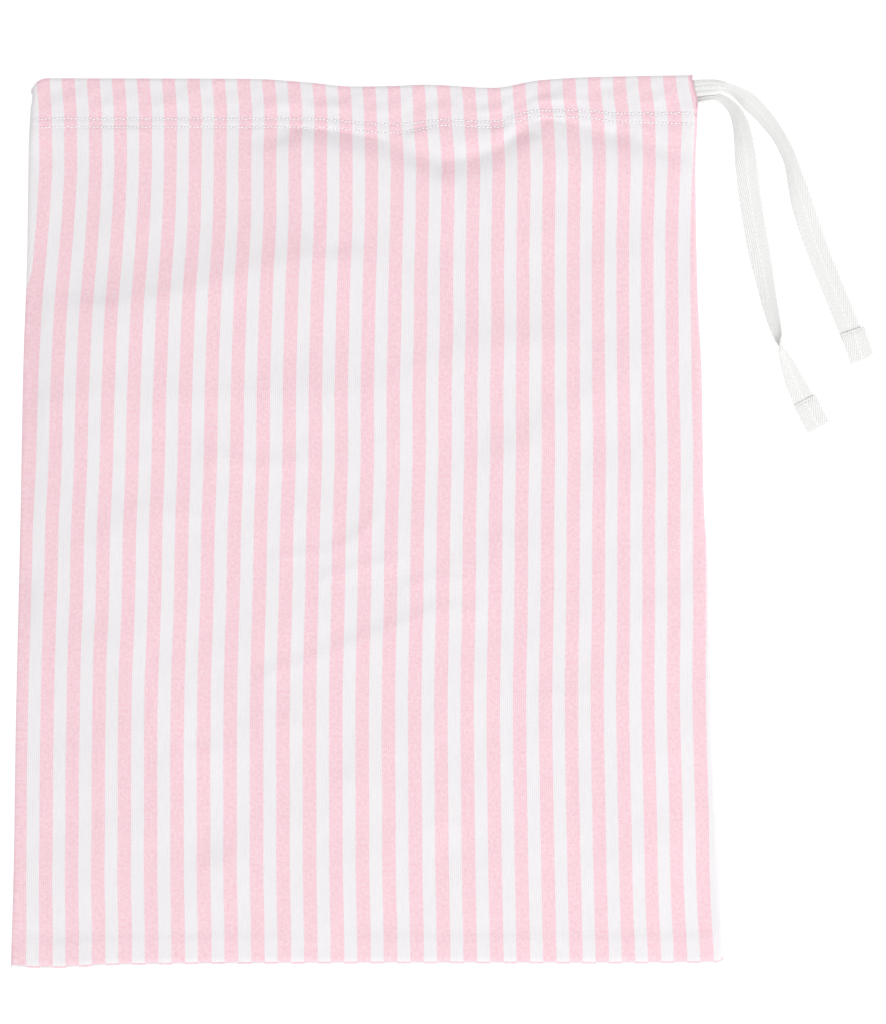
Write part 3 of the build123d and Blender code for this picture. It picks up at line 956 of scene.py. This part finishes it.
def make_hem(name, z_fold, z_sewn, front):
    """Turned-in edge of a ply, the inner wall of its casing."""
    down = np.concatenate([np.linspace(1.8, 20, 14)[:-1], np.linspace(20, HEM_DEPTH, 14)])[:, None]
    t = np.linspace(0, 1, 150)[None, :]

    def between_sides(y):
        return (left_edge(y) + 1.6) * (1 - t) + (right_edge(y) - 0.9) * t

    y = cloth_y(np.maximum(down, 2.0), between_sides(MOUTH_Y - down)) - (0.0 if front else BACK_SETBACK)
    x = between_sides(y)
    z = z_fold + (z_sewn - z_fold) * smooth((down - 19.0) / 4.5) + 0 * x
    if front:
        z = np.minimum(z, upper_z(x, y, down) - 2 * PLY - 0.1)
        z = z - mouth_wave(x) * (1 - smooth((down - 4) / 14.0))
    left_rise = quarter_circle(x - left_edge(y), HEM_ROLL)
    right_rise = quarter_circle(right_edge(y) - x, HEM_ROLL)
    right_rise = right_rise + (1 - right_rise) * slit_open(down)
    seam = seam_z(down)
    z = seam + (z - seam) * np.minimum(left_rise, right_rise)
    u = stripe_at(x, y) + (0.0 if front else BACK_STRIPE_SHIFT)
    across = np.stack([u, np.broadcast_to(-down, u.shape)], axis=2)
    return thick_sheet(name, np.stack([x, y, z], axis=2), across, PLY, JERSEY, flip=not front)


front_panel = make_front_panel()
back_panel = make_back_panel()
front_hem = make_hem("front_hem_cloth", FOLD_LOW, 4.9, front=True)
back_hem = make_hem("back_hem_cloth", BACK_HEM_Z, 1.6, front=False)


# ---- thread ----
def stitch_row(name, row, front):
    """Row of lockstitches through a casing, lying on the outer side of its ply."""
    lines = []
    t = np.linspace(0, 1, 5)
    for n in range(-2, 173):
        u = (n + STITCH_SHARE * (t - 0.5)) * STITCH
        x = stripe_x(u, MOUTH_Y - row)
        for _ in range(2):
            y = cloth_y(np.full_like(x, row), x)
            x = stripe_x(u, y)
        if x[-1] > EXIT_X - 0.5:
            break
        wander = 0.24 * math.sin(2.3 * n) + 0.14 * math.sin(0.37 * n + row)
        tilt = 0.12 * (t - 0.5) + wander
        if front:
            z = upper_z(x, y, np.full_like(x, row)) + 0.04 + 0.2 * np.sin(math.pi * t) ** 0.5
        else:
            y = y - BACK_SETBACK
            z = 0.12 - 0.02 * np.sin(math.pi * t)
        lines.append(np.stack([x, y + tilt, z], axis=1))
    return thread(name, lines, HEM_THREAD if front else UNDER_THREAD)


front_upper_stitches = stitch_row("front_upper_stitch_row", UPPER_ROW, True)
front_lower_stitches = stitch_row("front_lower_stitch_row", LOWER_ROW, True)
back_upper_stitches = stitch_row("back_upper_stitch_row", UPPER_ROW, False)
back_lower_stitches = stitch_row("back_lower_stitch_row", LOWER_ROW, False)


def make_bar_tacks():
    """Dense thread over the edge at the foot of the slit."""
    lines = []
    t = np.linspace(0, 1, 9)
    for n in range(5):
        y = MOUTH_Y - SLIT_DEPTH + 2.1 - 0.36 * n
        edge = right_edge(np.array([y]))[0]
        x = edge - 1.2 + 1.3 * np.sin(math.pi * t) ** 0.7
        z = np.maximum(3.6 + 3.4 * np.cos(math.pi * t), 0.25)
        lines.append(np.stack([x, y + 0.15 * np.sin(3 * n + t), z], axis=1))
    return thread("slit_bar_tack_threads", lines, TACK_THREAD)


bar_tacks = make_bar_tacks()

# ---- seam allowances inside the bag, and the overlock thread on them ----
ALLOWANCE = 9.0  # width
ALLOWANCE_Z = 2.15  # height of its upper side
ALLOWANCE_THICKNESS = 1.4  # two pressed plies
OVERLOCK_PITCH = 1.6
OVERLOCK_BITE = 3.2
SIDE_INSET = 1.9  # from an edge of the bag to the seam line inside it
BOTTOM_INSET = 2.6


def make_allowance(name, near, far):
    """Two plies sewn together inside an edge: a strip from the seam line to the raw edge."""
    steps = np.linspace(0, 1, 8)[None, :, None]
    strip = near[:, None, :] * (1 - steps) + far[:, None, :] * steps
    wobble = 0.12 * np.sin(np.arange(len(near)) / 2.7)[:, None] * steps[0, :, 0][None, :]
    strip[..., 2] += wobble
    u = stripe_at(strip[..., 0], strip[..., 1])
    across = np.stack([u, MOUTH_Y - strip[..., 1]], axis=2)
    return thick_sheet(name, strip, across, ALLOWANCE_THICKNESS, JERSEY)


def overlock(name, raw_edge, outward):
    """Zigzag of thread over the raw edge of a seam allowance."""
    along = lengths_along(raw_edge)
    stops = np.linspace(0, along[-1], int(along[-1] / OVERLOCK_PITCH))
    line = np.stack([np.interp(stops, along, raw_edge[:, k]) for k in range(3)], axis=1)
    every_second = np.arange(len(line)) % 2
    reach = np.where(every_second, OVERLOCK_BITE, -0.4)[:, None]
    line = line + reach * np.asarray(outward)[None, :]
    line[:, 2] += np.where(every_second, 0.15, -0.05)
    return thread(name, [line], FINE_THREAD, sides=5)


def seam_lines(x, y, z, inward):
    """Seam line through these places, and the raw edge of its allowance."""
    near = np.stack(np.broadcast_arrays(x, y, z), axis=1)
    return near, near + np.array([inward[0] * ALLOWANCE, inward[1] * ALLOWANCE, 0.1])


side_y = np.linspace(MOUTH_Y - HEM_DEPTH - 3.0, BOTTOM_Y + 12.0, 90)
side_z = ALLOWANCE_Z - 0.1
bottom_x = np.linspace(left_edge(BOTTOM_Y) + 12, right_edge(BOTTOM_Y) - 12, 80)
left_near, left_far = seam_lines(left_edge(side_y) + SIDE_INSET, side_y, side_z, (1, 0))
right_near, right_far = seam_lines(right_edge(side_y) - SIDE_INSET, side_y, side_z, (-1, 0))
bottom_near, bottom_far = seam_lines(bottom_x, BOTTOM_Y + BOTTOM_INSET, ALLOWANCE_Z, (0, 1))
left_allowance = make_allowance("left_seam_allowance_cloth", left_near[::-1], left_far[::-1])
right_allowance = make_allowance("right_seam_allowance_cloth", right_near, right_far)
bottom_allowance = make_allowance("bottom_seam_allowance_cloth", bottom_near[::-1], bottom_far[::-1])
left_overlock = overlock("left_overlock_thread", left_far, (-1, 0, 0))
right_overlock = overlock("right_overlock_thread", right_far, (1, 0, 0))
bottom_overlock = overlock("bottom_overlock_thread", bottom_far, (0, -1, 0))

# ---- what each piece stands for and the body it moves with (pieces marked both stay where they lie): piece, CAD node, body ----
PIECES = (
    ("striped_jersey", (
        (front_panel, "front_panel", "both"),
        (back_panel, "back_panel", "both"),
        (front_hem, "front_hem", "both"),
        (back_hem, "back_hem", "both"),
        (left_allowance, "left_seam_allowance", "both"),
        (right_allowance, "right_seam_allowance", "bag"),
        (bottom_allowance, "bottom_seam_allowance", "bag"),
    )),
    ("sewing_thread", (
        (left_overlock, "left_seam_stitching", "both"),
        (right_overlock, "right_seam_stitching", "bag"),
        (bottom_overlock, "bottom_seam_stitching", "bag"),
        (front_upper_stitches, "front_hem_upper_stitches", "both"),
        (front_lower_stitches, "front_hem_lower_stitches", "both"),
        (back_upper_stitches, "back_hem_upper_stitches", "both"),
        (back_lower_stitches, "back_hem_lower_stitches", "both"),
        (bar_tacks, "slit_bar_tacks", "bag"),
    )),
    ("twill_tape", (
        (casing_tape, "drawstring_in_casing", "drawstring"),
        (front_tail, "front_tail", "drawstring"),
        (back_tail, "back_tail", "drawstring"),
        (front_tab, "front_tail_tab", "drawstring"),
        (back_tab, "back_tail_tab", "drawstring"),
    )),
    ("sewing_thread", (
        (front_tab_stitches, "front_tail_stitches", "drawstring"),
        (back_tab_stitches, "back_tail_stitches", "drawstring"),
    )),
)
for slot, pieces in PIECES:
    for piece, node, body in pieces:
        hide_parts(node)
        if body == "both":
            gathers(piece)
        else:
            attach(piece, body)


# ---- floor and light ----
FLOOR_DROP = 0.00008  # metres below the bag
FLOOR_DARKER = (0.55, 0.55, 0.55, 1.0)
FLOOR_LIGHTER = (0.57, 0.57, 0.57, 1.0)
PURE_WHITE = (1.0, 1.0, 1.0, 1.0)
FLOOR_GLOW = 0.6
ROOM_GLOW = 0.912
LIGHTS = (  # name, place, size of its square, power
    ("key", (2.3, -2.5, 2.9), 4.0, 136.0),
    ("side", (1.5, -0.2, 1.3), 1.2, 4.4),
)


def make_floor():
    """Plain white table top, lit a little from below so that nearly no shadow shows on it."""
    mesh = bpy.data.meshes.new("floor")
    half = 30.0  # metres
    corners = [(-half, -half, 0), (half, -half, 0), (half, half, 0), (-half, half, 0)]
    mesh.from_pydata(corners, [], [(0, 1, 2, 3)])
    n = Nodes("floor")
    grain = n.noise(n.node("ShaderNodeTexCoord", (), output=3), 40.0)
    mesh.materials.append(n.finish(n.mix(grain, FLOOR_DARKER, FLOOR_LIGHTER), 0.9))
    n.shader.inputs["Emission Color"].default_value = PURE_WHITE
    n.shader.inputs["Emission Strength"].default_value = FLOOR_GLOW
    floor = add_object("floor", mesh)
    floor.location.z = -FLOOR_DROP


def make_light(name, place, size, power):
    """Soft square lamp aimed at the middle of the bag."""
    data = bpy.data.lights.new(name, "AREA")
    data.shape = "SQUARE"
    data.size = size
    data.energy = power
    lamp = add_object(name, data)
    lamp.location = place
    lamp.rotation_euler = (-Vector(place)).to_track_quat("-Z", "Y").to_euler()


def make_room():
    """Even white light from all round."""
    world = bpy.data.worlds.new("studio")
    world.use_nodes = True
    background = world.node_tree.nodes["Background"]
    background.inputs["Color"].default_value = PURE_WHITE
    background.inputs["Strength"].default_value = ROOM_GLOW
    bpy.context.scene.world = world


make_floor()
for light in LIGHTS:
    make_light(*light)
make_room()
bpy.context.scene.view_settings.view_transform = "Standard"
